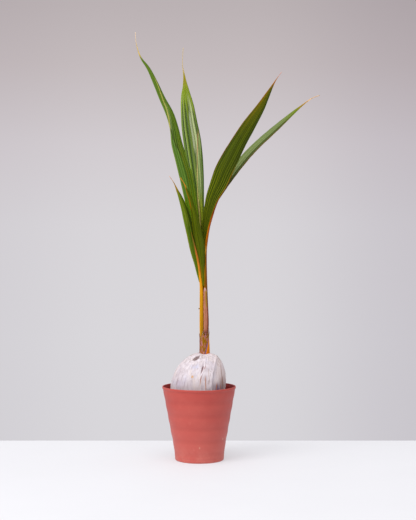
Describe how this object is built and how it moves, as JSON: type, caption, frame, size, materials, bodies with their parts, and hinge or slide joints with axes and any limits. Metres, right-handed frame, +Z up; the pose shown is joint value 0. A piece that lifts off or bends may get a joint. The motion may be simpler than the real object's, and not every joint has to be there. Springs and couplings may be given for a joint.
{
  "type": "potted coconut palm",
  "caption": "Sprouted coconut with a slim sheathed shoot and tall forked young leaves, standing in soil in a wavy terracotta-coloured nursery pot.",
  "frame": {"origin": "centre of the pot's underside, on the surface that it stands on", "axes": "+Z up along the pot's axis and the palm's height, +X towards the side that the right-hand leaf arches to, -Y towards the side that the two short lobes lean to"},
  "size_m": [0.5222, 0.2786, 1.1724],
  "materials": {
    "pot_plastic": "satin",
    "soil": "matte",
    "husk": "matte",
    "orange_scale": "satin",
    "sheath_fibre": "matte",
    "dry_sheath": "matte",
    "amber_stalk": "satin",
    "brown_stalk": "satin",
    "pale_stalk": "satin",
    "leaf_green": "satin",
    "leaf_olive": "satin",
    "leaf_pale": "satin"
  },
  "bodies": {
    "root": {"pot": "pot_plastic", "potting_soil": "soil", "coconut_husk": "husk", "scale_sheath": "orange_scale", "fibre_sheath": "sheath_fibre", "dry_sheath": "dry_sheath", "short_leaf_stalk": "amber_stalk", "short_leaf_left_lobe": "leaf_green", "short_leaf_right_lobe": "leaf_green", "right_leaf_stalk": "brown_stalk", "right_leaf_near_lobe": "leaf_olive", "right_leaf_far_lobe": "leaf_pale", "tall_leaf_stalk": "pale_stalk", "tall_leaf_left_lobe": "leaf_green", "tall_leaf_centre_lobe": "leaf_green"}
  },
  "joints": []
}
